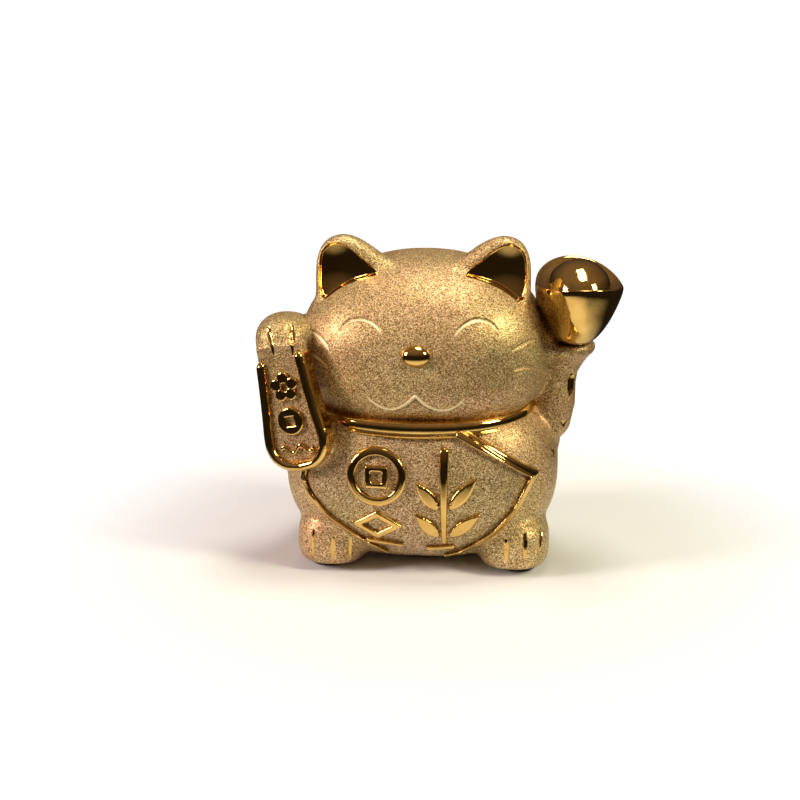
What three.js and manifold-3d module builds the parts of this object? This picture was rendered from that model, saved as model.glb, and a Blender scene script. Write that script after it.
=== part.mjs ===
// A beckoning cat coin bank: ceramic castings luted together, gilded relief, rubber feet and a rubber bung.
// Millimetres, +Z up. The cat faces -Y, so its own left is +X. z = 0 is the surface that it stands on.
import * as THREE from 'three';
import { mergeVertices } from 'three/addons/utils/BufferGeometryUtils.js';
import Module from 'manifold-3d';

const wasm = await Module();
wasm.setup();

// ---------------------------------------------------------------- driving dimensions
const WALL = 4.5; // thickness of the slip-cast walls
const GAP = 0.3; // clearance between pieces that touch
const PAD_HEIGHT = 3;
const BASE_Z = PAD_HEIGHT + GAP; // the flat underside of the torso and the hind paws
const NECK_Z = 77; // where the head casting meets the torso casting, behind the collar
const RELIEF = 2; // how far the gilded relief stands proud
const GROOVE = { width: 1.6, depth: 1.2 }; // the incised eyes, mouth and whiskers

// Rounded bodies. Half sizes are [x, y, z above the centre, z below the centre]. The exponents are those of
// a superellipsoid, [in plan, above the centre, below the centre], where 2 is round and more is squarer.
// The top of a body leans back by lean.
const TORSO = { centre: [0, 1, 44], half: [64, 47, 42, 43], exponents: [2.5, 2.5, 2.5], lean: 0 };
const HEAD_X = 1.2; // the head is set a little towards the cat's left
const HEAD = { centre: [HEAD_X, -2, 102], half: [57, 44, 42, 36], exponents: [2.3, 2.1, 3], lean: 7 };
const HIND_PAW = { half: [17, 20, 16, 15], exponents: [2.5, 2.5, 2.5], lean: 0 };
const HIND_PAWS = { middle: 2, aside: 42, y: -18, z: 13 }; // set a little towards the cat's left
const RIGHT_PAW = {
  centre: [-60.5, -20, 106.6],
  half: [13, 18, 11.3, 13],
  exponents: [2.3, 2.3, 2.3],
  lean: 0,
};
const NOSE = { centre: [HEAD_X, -44, 105.2], half: [6.5, 5, 4.8, 4.8], exponents: [2, 2, 2], lean: 0 };

const BUNG = { holeR: 12, flangeR: 15.5, wall: 4, top: 12 };
const SLOT = { width: 38, height: 5, z: 114 };
const COLLAR = { across: 50, deep: 39, centreY: -3, thick: 3.2, tall: 2.7, frontZ: 73, sideLift: 4 };
const EAR = { front: -18, back: -3, rimWidth: 3.4, hollow: 5, lining: 1.6, bevel: 2.4 };
const INGOT = {
  seat: [71.2, -2, 105.2],
  width: 39,
  length: 56,
  waist: 25,
  tipRise: 5.5,
  pitch: 0.12,
  yaw: 0.2,
};
const PLAQUE = { width: 30, height: 55, topShare: 0.52, thick: 6, rimWidth: 3.2, rimHeight: 2 };
const PLAQUE_POSE = { position: [-55, -37, 78], roll: -0.22, yaw: -0.3 };
const PADS = { aside: 44, y: -20, radius: 9, rearAside: 18, rearY: 15.5, rearRadius: 6 };
// The belly panel's corners in the front view. The paw with the plaque covers its right shoulder.
const PANEL = {
  left: [[20.5, 70.5], [53, 47], [19, 8.5]],
  right: [[-38, 70.5], [-52.5, 45], [-20, 9]],
  border: 3,
};

// ---------------------------------------------------------------- materials
function paint(color, roughness, metalness) {
  return new THREE.MeshStandardMaterial({ color, roughness, metalness });
}
const frostedGold = () => paint(0xb9975f, 0.6, 0.8);
const brightGold = () => paint(0xb08a2e, 0.12, 1);
const blackRubber = () => paint(0x1c1a19, 0.8, 0);

// ---------------------------------------------------------------- solids
// A closed geometry as a manifold-3d solid: only its positions, with shared vertices merged.
function solid(geometry) {
  const plain = new THREE.BufferGeometry();
  plain.setAttribute('position', geometry.getAttribute('position'));
  if (geometry.index) plain.setIndex(geometry.index);
  const merged = mergeVertices(plain, 1e-3);
  return new wasm.Manifold(new wasm.Mesh({
    numProp: 3,
    vertProperties: new Float32Array(merged.attributes.position.array),
    triVerts: new Uint32Array(merged.index.array),
  }));
}

const figure = new THREE.Group();

// Adds a solid to the figure as a named mesh.
function add(name, made, material) {
  const mesh = made.getMesh();
  const geometry = new THREE.BufferGeometry();
  geometry.setAttribute('position', new THREE.BufferAttribute(mesh.vertProperties, 3));
  geometry.setIndex(new THREE.BufferAttribute(mesh.triVerts, 1));
  geometry.computeVertexNormals();
  const piece = new THREE.Mesh(geometry, material);
  piece.name = name;
  figure.add(piece);
}

// Moves each vertex of a geometry to where place(x, y, z) says.
function reshape(geometry, place) {
  const position = geometry.getAttribute('position');
  for (let i = 0; i < position.count; i++) {
    position.setXYZ(i, ...place(position.getX(i), position.getY(i), position.getZ(i)));
  }
  return geometry;
}

// How far back a body leans at the share w of its height above its centre.
const leanAt = (body, w) => body.lean * Math.max(0, w) ** 2;

// A rounded body, grown on all sides.
function blob(body, grow = 0, around = 36, along = 24) {
  const { centre, half, exponents } = body;
  const sphere = new THREE.SphereGeometry(1, around, along).rotateX(Math.PI / 2);
  return solid(reshape(sphere, (x, y, z) => {
    const plan = exponents[0];
    const rise = z > 0 ? exponents[1] : exponents[2];
    const sum = (Math.abs(x) ** plan + Math.abs(y) ** plan) ** (rise / plan) + Math.abs(z) ** rise;
    const reach = sum ** (-1 / rise);
    return [
      centre[0] + x * reach * (half[0] + grow),
      centre[1] + y * reach * (half[1] + grow) + leanAt(body, z * reach),
      centre[2] + z * reach * ((z > 0 ? half[2] : half[3]) + grow),
    ];
  }));
}

// A box given by its lowest and highest corners.
function block(low, high) {
  const size = high.map((v, i) => v - low[i]);
  const middle = high.map((v, i) => (v + low[i]) / 2);
  return solid(new THREE.BoxGeometry(...size).translate(...middle));
}

// A turned geometry about the Z axis. The profile is [radius, z] points, from the axis round to the axis with
// the bottom first, or a closed loop.
function turned(profile, segments) {
  const points = profile.map(([r, z]) => new THREE.Vector2(r, z));
  return new THREE.LatheGeometry(points, segments).rotateX(Math.PI / 2);
}

// Extrudes an outline that is drawn in the front view, from y = front back to y = back.
function frontExtrusion(outline, front, back, curveSegments = 6, bevel = 0) {
  return new THREE.ExtrudeGeometry(outline, {
    depth: back - front - 2 * bevel,
    curveSegments,
    bevelEnabled: bevel > 0,
    bevelThickness: bevel,
    bevelSize: bevel,
    bevelOffset: -bevel,
    bevelSegments: 2,
  }).rotateX(Math.PI / 2).translate(0, back - bevel, 0);
}

const FAR = 200;
const above = (z) => block([-FAR, -FAR, z], [FAR, FAR, FAR]);
const below = (z) => block([-FAR, -FAR, -FAR], [FAR, FAR, z]);

const torsoClear = blob(TORSO, GAP);
const headClear = blob(HEAD, GAP);
const castingsClear = torsoClear.add(headClear);

// ---------------------------------------------------------------- relief that follows a rounded body
// The front surface of a rounded body at (x, z), with its outward normal.
function frontOf(body, x, z) {
  const { centre, half, exponents } = body;
  const upper = z > centre[2];
  const plan = exponents[0];
  const rise = upper ? exponents[1] : exponents[2];
  const halfZ = upper ? half[2] : half[3];
  const u = (x - centre[0]) / half[0];
  const w = (z - centre[2]) / halfZ;
  const girth = Math.max(0.02, 1 - Math.abs(w) ** rise) ** (1 / rise);
  const v = -(Math.max(0.001, girth ** plan - Math.abs(u) ** plan) ** (1 / plan));
  const slope = (t, power) => Math.sign(t) * Math.abs(t) ** (power - 1);
  const dx = (girth ** (rise - plan) * slope(u, plan)) / half[0];
  const dy = (girth ** (rise - plan) * slope(v, plan)) / half[1];
  const dz = slope(w, rise) / halfZ - (dy * 2 * body.lean * Math.max(0, w)) / halfZ;
  const normal = new THREE.Vector3(dx, dy, dz).normalize();
  return { point: new THREE.Vector3(x, centre[1] + v * half[1] + leanAt(body, w), z), normal };
}

// A band of relief on a body along a polyline of [x, z] points, from height low to height high above the
// surface. width(t) is its width at the fraction t of its points.
function band(body, points, width, low, high, spacing = 4) {
  const line = [points[0]];
  points.slice(1).forEach(([x, z], i) => {
    const [x0, z0] = points[i];
    const steps = Math.max(1, Math.round(Math.hypot(x - x0, z - z0) / spacing));
    for (let k = 1; k <= steps; k++) line.push([x0 + ((x - x0) * k) / steps, z0 + ((z - z0) * k) / steps]);
  });
  const last = line.length - 1;
  const strip = new THREE.BoxGeometry(last, 1, 1, last, 1, 1).translate(last / 2, 0.5, 0);
  return solid(reshape(strip, (t, rise, side) => {
    const i = Math.round(t);
    const before = line[Math.max(0, i - 1)];
    const after = line[Math.min(last, i + 1)];
    const along = new THREE.Vector2(after[0] - before[0], after[1] - before[1]).normalize();
    const offset = side * width(i / last);
    const { point, normal } = frontOf(body, line[i][0] - along.y * offset, line[i][1] + along.x * offset);
    return point.addScaledVector(normal, high + (low - high) * rise).toArray();
  }));
}

// A flat ring with any inner and outer outline, given as radii by angle, set on a body's front.
function washer(body, [x, z], inner, outer, segments, low, high) {
  const rings = [1, 4 / 3, 5 / 3, 2];
  const loop = [...rings.map((r) => [r, 0]), ...[...rings].reverse().map((r) => [r, 1]), [1, 0]];
  return solid(reshape(turned(loop, segments), (px, py, rise) => {
    const turn = Math.atan2(py, px);
    const share = Math.hypot(px, py) - 1;
    const reach = inner(turn) * (1 - share) + outer(turn) * share;
    const { point, normal } = frontOf(body, x + reach * Math.cos(turn), z + reach * Math.sin(turn));
    return point.addScaledVector(normal, low + (high - low) * rise).toArray();
  }));
}

const constant = (value) => () => value;
const across = (turn) => Math.abs(Math.cos(turn));
const upright = (turn) => Math.abs(Math.sin(turn));
const square = (half) => (turn) => half / Math.max(across(turn), upright(turn));
const lozenge = (halfX, halfZ) => (turn) => 1 / (across(turn) / halfX + upright(turn) / halfZ);
const petals = (count, radius) => (turn) => radius * (0.84 + 0.16 * Math.cos(count * turn));
const leafWidth = (width) => (t) => 0.5 + width * Math.sin(Math.PI * t ** 0.8);

// ---------------------------------------------------------------- torso, head and hind paws
function torso() {
  const cavity = blob(TORSO, -WALL, 26, 14).intersect(above(BASE_Z + WALL));
  const bungHole = solid(turned([[0, -5], [BUNG.holeR, -5], [BUNG.holeR, 20], [0, 20]], 32));
  const walls = blob(TORSO).subtract(cavity).subtract(bungHole);
  return walls.intersect(above(BASE_Z)).intersect(below(NECK_Z - GAP / 2));
}

function coinSlot() {
  const end = SLOT.height / 2;
  const reach = SLOT.width / 2 - end;
  const outline = new THREE.Shape();
  outline.absarc(reach, SLOT.z, end, -Math.PI / 2, Math.PI / 2);
  outline.absarc(-reach, SLOT.z, end, Math.PI / 2, Math.PI * 1.5);
  return solid(frontExtrusion(outline, 10, 70, 5));
}

// The incised lines of the face: two smiling eyes, the mouth and three whiskers on each cheek.
const FACE_LINES = [
  [[0, 86], [-4, 82.5], [-9, 81], [-14, 81.8], [-19.5, 84.5]],
  [[0.6, 86], [4, 82.5], [9, 81], [14, 81.8], [19.5, 84.5]],
];
[-1, 1].forEach((side) => {
  const eye = [[16.5, 114], [18.5, 117], [22, 118.8], [26, 119], [30, 117.5], [33.5, 114]];
  const whiskers = [[108, 3], [102, 0], [96, -3]].map(([z, drop]) => [[40, z], [49, z + drop]]);
  [eye, ...whiskers].forEach((line) => FACE_LINES.push(line.map(([x, z]) => [HEAD_X + side * x, z])));
});

function head() {
  const cavity = blob(HEAD, -WALL, 26, 14);
  const walls = blob(HEAD).subtract(cavity).subtract(coinSlot()).intersect(above(NECK_Z + GAP / 2));
  const cut = (made, line) => made.subtract(band(HEAD, line, constant(GROOVE.width), -GROOVE.depth, 1));
  return FACE_LINES.reduce(cut, walls);
}

function hindPaw(side) {
  const centre = [HIND_PAWS.middle + side * HIND_PAWS.aside, HIND_PAWS.y, HIND_PAWS.z];
  return blob({ centre, ...HIND_PAW }, 0, 26, 16).subtract(torsoClear).intersect(above(BASE_Z));
}

add('body_shell', torso(), frostedGold());
add('head_shell', head(), frostedGold());
add('left_hind_paw', hindPaw(1), frostedGold());
add('right_hind_paw', hindPaw(-1), frostedGold());

// ---------------------------------------------------------------- ears
// The outline of an ear in the front view, from its outer foot round the tip to its inner foot.
function earOutline(side, inset) {
  const outline = new THREE.Shape();
  // A point of the outline, drawn in by shareX and shareZ of the inset.
  const at = (x, z, shareX, shareZ) => [HEAD_X + side * (x + inset * shareX), z + inset * shareZ];
  const tip = at(38.2, 151.5, 0, -1);
  const shoulder = at(18, 140, 1.6, -1);
  outline.moveTo(...at(49.3, 108, -1, 1));
  outline.lineTo(...at(49.6, 134.5, -1, 0));
  outline.bezierCurveTo(...at(49.3, 145, -1, -0.6), ...at(44, 151.7, -0.4, -1), ...tip);
  outline.bezierCurveTo(...at(32, 151.3, -0.2, -1.1), ...at(28, 144.5, 0, -1), ...shoulder);
  outline.lineTo(...at(13, 120, 2, 1));
  outline.closePath();
  return outline;
}

function ear(side) {
  const whole = solid(frontExtrusion(earOutline(side, 0), EAR.front, EAR.back, 5, EAR.bevel));
  const hollow = frontExtrusion(earOutline(side, EAR.rimWidth), EAR.front - 1, EAR.front + EAR.hollow, 5);
  return whole.subtract(solid(hollow)).subtract(headClear);
}

function earLining(side) {
  const back = EAR.front + EAR.hollow - GAP;
  const sheet = frontExtrusion(earOutline(side, EAR.rimWidth + GAP), back - EAR.lining, back, 5);
  return solid(sheet).subtract(blob(HEAD, 2 * GAP));
}

add('left_ear', ear(1), frostedGold());
add('right_ear', ear(-1), frostedGold());
add('left_ear_lining', earLining(1), brightGold());
add('right_ear_lining', earLining(-1), brightGold());

// ---------------------------------------------------------------- collar
function collar(grow = 0) {
  const steps = 8;
  const section = Array.from({ length: steps + 1 }, (_, i) => {
    const turn = ((i % steps) / steps) * Math.PI * 2;
    return [COLLAR.across + (COLLAR.thick + grow) * Math.cos(turn), (COLLAR.tall + grow) * Math.sin(turn)];
  });
  return solid(reshape(turned(section, 44), (x, y, z) => {
    const fromFront = Math.max(0, y / COLLAR.across + 1);
    const lift = COLLAR.sideLift * Math.min(1, fromFront ** 1.5);
    return [x, y * (COLLAR.deep / COLLAR.across) + COLLAR.centreY, z + COLLAR.frontZ + lift];
  }));
}

add('collar', collar().subtract(castingsClear), brightGold());

// ---------------------------------------------------------------- belly: border and ornaments
function bellyBorder(corners, grow = 0) {
  return band(TORSO, corners, constant(PANEL.border + 2 * grow), GAP - grow, GAP + RELIEF + grow);
}

function raised(points, width) {
  return band(TORSO, points, width, GAP, GAP + RELIEF);
}

function raisedRing(at, inner, outer, segments) {
  return washer(TORSO, at, inner, outer, segments, GAP, GAP + RELIEF);
}

const COIN = [-16.5, 50];
const STEM = { x: 13.5, low: 19, high: 62 };
const LEAVES = [
  { root: [2.6, 36], tip: [14.5, 50] },
  { root: [-2.6, 36], tip: [-12.5, 48] },
  { root: [2.6, 22], tip: [16, 33] },
  { root: [-2.6, 22], tip: [-12.5, 33] },
];

add('belly_border_left', bellyBorder(PANEL.left).subtract(collar(GAP)), brightGold());
add('belly_border_right', bellyBorder(PANEL.right).subtract(collar(GAP)), brightGold());
add('belly_coin_rim', raisedRing(COIN, constant(9.6), constant(13.4), 36), brightGold());
add('belly_coin_eye', raisedRing(COIN, square(2.4), square(5.2), 32), brightGold());
add('belly_lozenge', raisedRing([-16.5, 27], lozenge(6.5, 2.8), lozenge(11, 6.6), 32), brightGold());
add('belly_bar_right', raised([[-21, 15], [-6, 13]], constant(2.6)), brightGold());
add('belly_bar_left', raised([[6, 12], [17, 13]], constant(2.6)), brightGold());
add('belly_stem', raised([[STEM.x, STEM.low], [STEM.x, STEM.high]], constant(3)), brightGold());
LEAVES.forEach(({ root, tip }, i) => {
  const points = [root, tip].map(([x, z]) => [STEM.x + x, z]);
  add(`belly_leaf_${i + 1}`, raised(points, leafWidth(6)), brightGold());
});

add('nose', blob(NOSE, 0, 20, 12).subtract(headClear), brightGold());

// ---------------------------------------------------------------- plaque, held by the right paw
const plaqueMatrix = new THREE.Matrix4()
  .makeRotationFromEuler(new THREE.Euler(0, PLAQUE_POSE.roll, PLAQUE_POSE.yaw, 'ZYX'))
  .setPosition(...PLAQUE_POSE.position);
const onPlaque = (geometry) => solid(geometry.applyMatrix4(plaqueMatrix));

// A tongue: it widens a little from its top to a round foot.
function tongue(inset) {
  const foot = PLAQUE.width / 2 - inset;
  const top = (PLAQUE.width / 2) * PLAQUE.topShare - inset;
  const high = PLAQUE.height / 2 - inset;
  const outline = new THREE.Shape();
  outline.moveTo(top, high);
  outline.lineTo(-top, high);
  outline.lineTo(-foot, -high + foot);
  outline.absarc(0, -high + foot, foot, Math.PI, Math.PI * 2);
  outline.closePath();
  return outline;
}

const faceY = -PLAQUE.thick / 2;
const fieldY = faceY - GAP;
const slab = (grow) => onPlaque(frontExtrusion(tongue(-grow), faceY - grow, -faceY + grow, 9));
const pawClear = blob(RIGHT_PAW, GAP, 24, 16);

function plaqueRim() {
  const outline = tongue(0);
  outline.holes.push(new THREE.Path(tongue(PLAQUE.rimWidth).getPoints(9).reverse()));
  return onPlaque(frontExtrusion(outline, fieldY - PLAQUE.rimHeight, fieldY, 9)).subtract(pawClear);
}

// The right arm: a leaning, tapered forearm, and the paw that curls over the top of the plaque.
function rightArm() {
  const root = [-60, 0, 60];
  const profile = [[0, 48], [8, 49], [10.5, 60], [10.8, 72], [10, 86], [9.5, 98], [6, 104], [0, 106]];
  const forearm = solid(reshape(turned(profile, 22), (x, y, z) => {
    const rise = z - root[2];
    return [x + root[0] - 0.06 * rise, y + root[1] - 0.1 * rise, z];
  }));
  const room = frontExtrusion(tongue(-GAP), faceY - PLAQUE.rimHeight - 2 * GAP, -faceY + GAP, 9);
  const arm = forearm.add(blob(RIGHT_PAW, 0, 24, 16)).subtract(onPlaque(room));
  return arm.subtract(castingsClear).subtract(collar(GAP));
}

// Ornaments on the plaque, drawn in its own frame.
function plaqueRing(z, inner, outer, segments) {
  const points = (radius) => Array.from({ length: segments }, (_, i) => {
    const turn = (i / segments) * Math.PI * 2;
    return new THREE.Vector2(radius(turn) * Math.cos(turn), z + radius(turn) * Math.sin(turn));
  });
  const outline = new THREE.Shape(points(outer));
  outline.holes.push(new THREE.Path(points(inner).reverse()));
  return onPlaque(frontExtrusion(outline, fieldY - 1.5, fieldY));
}

function plaqueWave(z, width, swing, thickness) {
  const line = (lift) => Array.from({ length: 13 }, (_, i) => (
    new THREE.Vector2((i / 12 - 0.5) * width, z + lift + swing * Math.sin((i / 12) * Math.PI * 4))
  ));
  const outline = new THREE.Shape([...line(-thickness / 2), ...line(thickness / 2).reverse()]);
  return onPlaque(frontExtrusion(outline, fieldY - 1.5, fieldY));
}

add('plaque', slab(0).subtract(castingsClear).subtract(bellyBorder(PANEL.right, 1)), frostedGold());
add('right_arm', rightArm(), frostedGold());
add('plaque_rim', plaqueRim(), brightGold());
add('plaque_blossom', plaqueRing(9.5, constant(1.8), petals(5, 7), 30), brightGold());
add('plaque_coin', plaqueRing(-5.5, square(2.4), constant(6.2), 24), brightGold());
add('plaque_wave', plaqueWave(-18, 15, 1.8, 2.4), brightGold());

// ---------------------------------------------------------------- left arm with the ingot
const ingotMatrix = new THREE.Matrix4()
  .makeRotationFromEuler(new THREE.Euler(INGOT.pitch, 0, INGOT.yaw, 'ZYX'))
  .setPosition(...INGOT.seat);

// The left arm rises from the flank, narrows at the wrist and flares to the palm. Above its elbow it leans
// outwards.
function leftArm(grow = 0) {
  const elbow = { x: 62, z: 80, lean: 0.27 };
  const forearm = [[0, 52], [4, 53.5], [7, 57.5], [9.6, 65], [10.4, 74], [9.6, 83], [8.4, 91]];
  const palm = [[9.8, 97], [11.6, 101], [11.6, 108], [0, 108]];
  const profile = [...forearm, ...palm].map(([r, z]) => [r && r + grow, z]);
  const arm = reshape(turned(profile, 24), (x, y, z) => (
    [x + elbow.x + elbow.lean * Math.max(0, z - elbow.z), y, z]
  ));
  const overPalm = new THREE.BoxGeometry(60, 80, 40).translate(0, 0, 20 - GAP).applyMatrix4(ingotMatrix);
  return solid(arm).subtract(solid(overPalm));
}

// A boat-shaped ingot: a turned profile drawn out to a pointed oval, with both ends swept up and a dome in
// the middle. Its profile is in half widths and waist heights.
function ingot() {
  const profile = [
    [0, 0], [0.4, 0], [0.58, 0.1], [0.76, 0.3], [0.9, 0.58], [0.99, 0.9], [1, 1], [0.95, 1.03],
    [0.85, 0.97], [0.72, 0.91], [0.64, 0.95], [0.6, 1.08], [0.5, 1.24], [0.35, 1.36], [0.17, 1.42], [0, 1.44],
  ];
  const hull = reshape(turned(profile, 32), (x, y, z) => {
    const reach = Math.hypot(x, y);
    if (!reach) return [0, 0, z * INGOT.waist];
    const endness = Math.abs(y / reach) ** 3;
    const sweep = INGOT.tipRise * endness * Math.max(0, (reach - 0.4) / 0.6) ** 2 * Math.min(1, z);
    const beam = Math.sign(x) * Math.abs(x / reach) ** 1.3 * reach;
    return [(beam * INGOT.width) / 2, (y * INGOT.length) / 2, z * INGOT.waist + sweep];
  });
  return solid(hull.applyMatrix4(ingotMatrix)).subtract(headClear);
}

function patch(centre, half, neighbour) {
  return blob({ centre, half, exponents: [2, 2, 2], lean: 0 }, 0, 16, 10).subtract(neighbour);
}

add('left_arm', leftArm().subtract(castingsClear).subtract(collar(GAP)), frostedGold());
add('ingot', ingot(), brightGold());
add('left_arm_patch_upper', patch([71.3, -4, 84], [2.4, 3.6, 4.4, 4.4], leftArm(GAP)), brightGold());
add('left_arm_patch_lower', patch([70.4, -4, 69.5], [3, 4.4, 6, 6], leftArm(GAP)), brightGold());
add('left_flank_patch', patch([61, -14, 47], [3, 2.8, 3.6, 3.6], torsoClear.add(leftArm(GAP))), brightGold());

// ---------------------------------------------------------------- tail, curled up against the back
function tail() {
  const path = [[-4, 44, 9], [8, 47, 11], [22, 45, 20], [26, 43, 34], [17, 45, 44], [8, 47, 38]];
  const curl = new THREE.CatmullRomCurve3(path.map((p) => new THREE.Vector3(...p)));
  const section = new THREE.Shape().absarc(0, 0, 5.5, 0, Math.PI * 2);
  const tube = new THREE.ExtrudeGeometry(section, { steps: 16, curveSegments: 5, extrudePath: curl });
  return solid(tube).subtract(torsoClear).intersect(above(BASE_Z));
}
add('tail', tail(), frostedGold());

// ---------------------------------------------------------------- rubber feet and bung
function footPad(x, y, radius, bevel = 0.5) {
  const profile = [[0, 0], [radius - bevel, 0], [radius, bevel], [radius, PAD_HEIGHT], [0, PAD_HEIGHT]];
  return solid(turned(profile, 24).translate(x, y, 0));
}

[['left', 1], ['right', -1]].forEach(([name, side]) => {
  const frontX = HIND_PAWS.middle + side * PADS.aside;
  add(`front_${name}_pad`, footPad(frontX, PADS.y, PADS.radius), blackRubber());
  add(`rear_${name}_pad`, footPad(side * PADS.rearAside, PADS.rearY, PADS.rearRadius), blackRubber());
});

// A flanged cup that plugs the hole in the base. Its recessed underside gives a fingernail a grip.
function bung() {
  const plugR = BUNG.holeR - GAP;
  const innerR = plugR - BUNG.wall;
  return solid(turned([
    [0, 1.6], [5, 1.6], [6, 1], [BUNG.flangeR - 0.6, 1], [BUNG.flangeR, 1.6], [BUNG.flangeR, PAD_HEIGHT],
    [plugR, PAD_HEIGHT], [plugR, BUNG.top - 2.5], [plugR - 1.2, BUNG.top],
    [innerR, BUNG.top], [innerR, 5], [0, 5],
  ], 32));
}
add('bung', bung(), blackRubber());

// The origin is the middle of the footprint of the whole figure, on the surface that it stands on.
const extent = new THREE.Box3().setFromObject(figure);
const middle = extent.getCenter(new THREE.Vector3());
figure.position.set(-middle.x, -middle.y, 0);

const group = new THREE.Group();
group.add(figure);
export default group;
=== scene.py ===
"""A gilded ceramic beckoning cat bank: a casting in sandy glitter, mirror gilding, rubber feet and a bung."""
import math

import bmesh
import bpy
import numpy as np
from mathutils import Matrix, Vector


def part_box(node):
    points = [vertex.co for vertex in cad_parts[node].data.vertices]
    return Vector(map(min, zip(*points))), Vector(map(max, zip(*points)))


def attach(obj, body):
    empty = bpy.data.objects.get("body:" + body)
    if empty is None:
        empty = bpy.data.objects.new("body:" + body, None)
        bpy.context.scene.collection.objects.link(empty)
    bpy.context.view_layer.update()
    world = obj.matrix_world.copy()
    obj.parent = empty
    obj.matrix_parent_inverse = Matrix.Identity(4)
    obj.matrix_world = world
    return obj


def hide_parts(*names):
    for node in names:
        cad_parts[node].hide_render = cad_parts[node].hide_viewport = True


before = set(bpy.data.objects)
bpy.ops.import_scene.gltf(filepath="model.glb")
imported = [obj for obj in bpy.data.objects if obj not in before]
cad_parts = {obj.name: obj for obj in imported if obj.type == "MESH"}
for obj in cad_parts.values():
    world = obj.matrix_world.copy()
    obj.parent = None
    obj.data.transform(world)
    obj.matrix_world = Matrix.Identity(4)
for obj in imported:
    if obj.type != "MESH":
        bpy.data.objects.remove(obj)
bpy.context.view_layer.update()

# Shapes are worked out in millimetres from the middle of the torso, on the surface that the cat stands on.
torso_low, torso_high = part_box("body_shell")
ORIGIN = np.array([(torso_low[0] + torso_high[0]) * 500, (torso_low[1] + torso_high[1]) * 500 - 1, 0.0])
CASTING_CELL = 0.6
TRIM_CELL = 0.42

# A rounded body's half sizes are across, deep, up and down, and its exponents are in plan, above and below.
HEAD_X = 1.2
TORSO = dict(centre=(0, 1, 44), half=(64, 47, 42, 43), exponents=(2.5, 2.5, 2.5), lean=0)
HEAD = dict(centre=(HEAD_X, -2, 102), half=(57, 44, 42, 36), exponents=(2.3, 2.1, 3.1), lean=7)
RIGHT_PAW = dict(centre=(-60.5, -20, 106.6), half=(13, 18, 11.3, 13.4), exponents=(2.3, 2.3, 2.2), lean=0)
HIND_PAWS = [
    dict(centre=(side * 42 + 2, -17.5, 13), half=(16.6, 21, 16, 12), exponents=(2.4, 2.4, 3.6), lean=0)
    for side in (-1, 1)
]
FLOOR_OF_CASTING = 3.3


# ---- distance fields
def rounded(p, body, grow=0.0):
    """Distance to a rounded body, whose upper and lower halves may differ."""
    cx, cy, cz = body["centre"]
    hx, hy, up, down = (h + grow for h in body["half"])
    plan, rise_up, rise_down = body["exponents"]
    z = p[:, 2] - cz
    high = np.where(z > 0, up, down)
    rise = np.where(z > 0, rise_up, rise_down)
    w = np.abs(z) / high
    lean = body["lean"] * np.clip(z / high, 0, 1.3) ** 2
    u = np.abs(p[:, 0] - cx) / hx + 1e-5
    v = np.abs(p[:, 1] - cy - lean) / hy + 1e-5
    flat = u**plan + v**plan
    g = (flat ** (rise / plan) + w**rise) ** (1 / rise)
    common = g ** (1 - rise)
    in_plan = common * flat ** (rise / plan - 1)
    gu = in_plan * u ** (plan - 1) / hx
    gv = in_plan * v ** (plan - 1) / hy
    gw = common * w ** (rise - 1) / high
    return (g - 1) / np.sqrt(gu * gu + gv * gv + gw * gw + 1e-9)


def join(a, b, soft):
    """Union of two fields with a fillet about soft millimetres wide."""
    h = np.clip(0.5 + 0.5 * (b - a) / soft, 0, 1)
    return b * (1 - h) + a * h - soft * h * (1 - h)


def cut(a, b, soft):
    """a without b, with its new edge softened."""
    return -join(-a, b, soft)


def overlap(a, b, soft):
    """What is in both a and b."""
    return -join(-a, -b, soft)


def step_up(value, low, high):
    """A smooth step from 0 at low to 1 at high."""
    t = np.clip((value - low) / (high - low), 0, 1)
    return t * t * (3 - 2 * t)


def rounded_edge(a, b, radius):
    """Two distances as one solid, whose edge between them has this radius."""
    a, b = a + radius, b + radius
    return np.minimum(np.maximum(a, b), 0) + np.hypot(np.maximum(a, 0), np.maximum(b, 0)) - radius


def outline_distance(x, z, points):
    """Signed distance in a plane to a closed outline, negative inside."""
    best = np.full(x.shape, 1e9)
    inside = np.zeros(x.shape, bool)
    for (x0, z0), (x1, z1) in zip(points, points[1:] + points[:1]):
        ex, ez = x1 - x0, z1 - z0
        t = np.clip(((x - x0) * ex + (z - z0) * ez) / (ex * ex + ez * ez + 1e-12), 0, 1)
        best = np.minimum(best, (x - x0 - t * ex) ** 2 + (z - z0 - t * ez) ** 2)
        crosses = (z0 > z) != (z1 > z)
        if z1 != z0:
            inside ^= crosses & (x < (z - z0) * ex / (z1 - z0) + x0)
    return np.where(inside, -1, 1) * np.sqrt(best)


def line_distance(coords, points, widths):
    """Distance to a polyline of any dimension less its half width, which runs from point to point."""
    best = np.full(len(coords), 1e9)
    for a, b, ra, rb in zip(points, points[1:], widths, widths[1:]):
        a, b = np.asarray(a, float), np.asarray(b, float)
        e = b - a
        t = np.clip((coords - a) @ e / (e @ e), 0, 1)
        r = np.linalg.norm(coords - a - t[:, None] * e, axis=1) - (ra + (rb - ra) * t)
        best = np.minimum(best, r)
    return best


def curve(points, count):
    """count points on a smooth curve through the given ones."""
    p = np.asarray(points, float)
    q = np.vstack([2 * p[0] - p[1], p, 2 * p[-1] - p[-2]])
    out = []
    for t in np.linspace(0, len(p) - 1, count):
        i = min(int(t), len(p) - 2)
        f = t - i
        a, b, c, d = q[i : i + 4]
        bend = 2 * a - 5 * b + 4 * c - d
        twist = 3 * b - a - 3 * c + d
        out.append(0.5 * (2 * b + (c - a) * f + bend * f**2 + twist * f**3))
    return np.array(out)


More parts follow.
